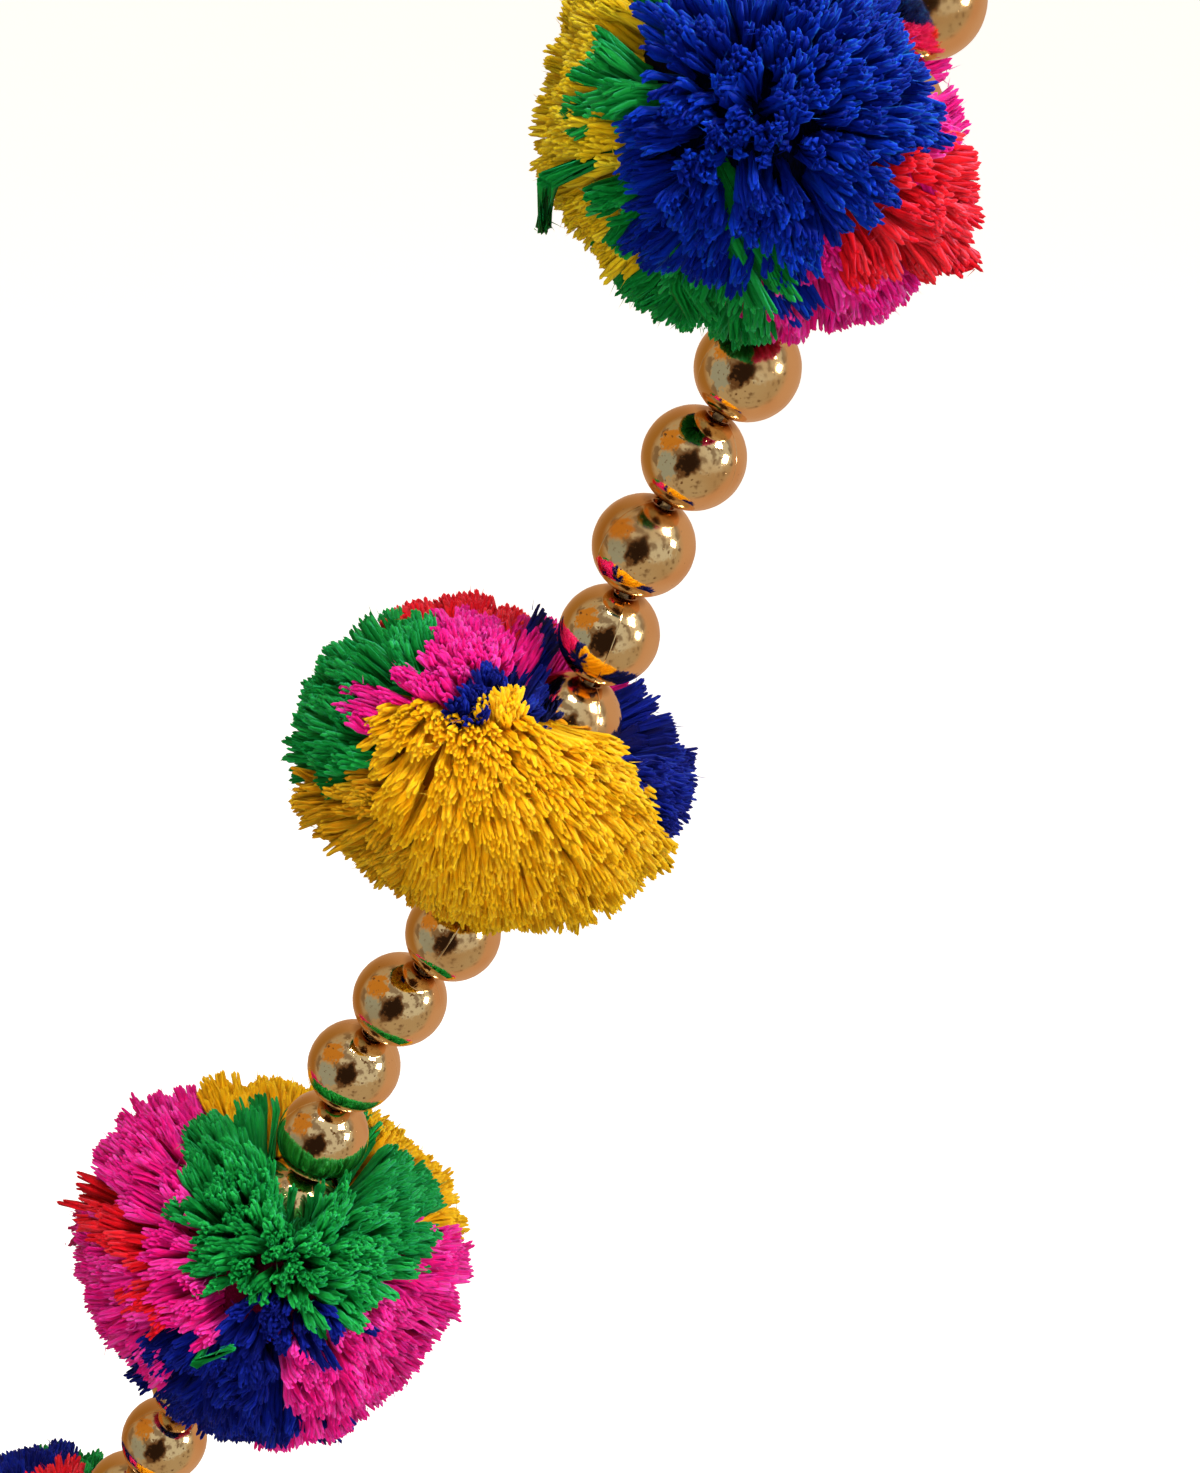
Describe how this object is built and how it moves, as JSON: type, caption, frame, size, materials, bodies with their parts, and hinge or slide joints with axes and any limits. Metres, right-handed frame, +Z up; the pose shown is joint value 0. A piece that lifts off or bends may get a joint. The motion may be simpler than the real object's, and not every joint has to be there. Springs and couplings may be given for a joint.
{
  "type": "pom pom toran strand",
  "caption": "Hanging strand of mixed-colour yarn pompoms and runs of gold balls threaded on a cord, with a tied loop at each end.",
  "frame": {"origin": "inside the upper end loop, at the top of the space that the cord goes round, where a hook bears", "axes": "+Z up, the strand in the XZ plane, slanting down towards -X as it does between its two held ends, its front towards -Y"},
  "size_m": [0.1564, 0.0448, 0.3262],
  "materials": {
    "gold_bead": "metallised champagne gold, mirror gloss with fine pits",
    "cord": "twisted cord, muted gold",
    "yarn_blue": "cut acrylic yarn, royal blue in front, with green, yellow, pink and red",
    "yarn_yellow": "cut acrylic yarn, amber yellow in front, with green, pink, red and blue",
    "yarn_green": "cut acrylic yarn, green in front, with pink, yellow, red and blue",
    "yarn_pink": "cut acrylic yarn, pink, blue, red, green and yellow"
  },
  "bodies": {
    "root": {"stringing_cord": "cord", "upper_loop": "cord", "lower_loop": "cord", "pompom_1": "yarn_blue", "pompom_2": "yarn_yellow", "pompom_3": "yarn_green", "pompom_4": "yarn_pink", "bead_a1": "gold_bead", "bead_a2": "gold_bead", "bead_a3": "gold_bead", "bead_a4": "gold_bead", "bead_a5": "gold_bead", "bead_b1": "gold_bead", "bead_b2": "gold_bead", "bead_b3": "gold_bead", "bead_b4": "gold_bead", "bead_b5": "gold_bead", "bead_c1": "gold_bead", "bead_c2": "gold_bead", "bead_c3": "gold_bead", "bead_c4": "gold_bead", "bead_c5": "gold_bead", "bead_d1": "gold_bead", "bead_d2": "gold_bead", "bead_d3": "gold_bead", "bead_d4": "gold_bead", "bead_e1": "gold_bead", "bead_e2": "gold_bead", "bead_e3": "gold_bead", "bead_e4": "gold_bead", "bead_e5": "gold_bead"}
  },
  "joints": []
}
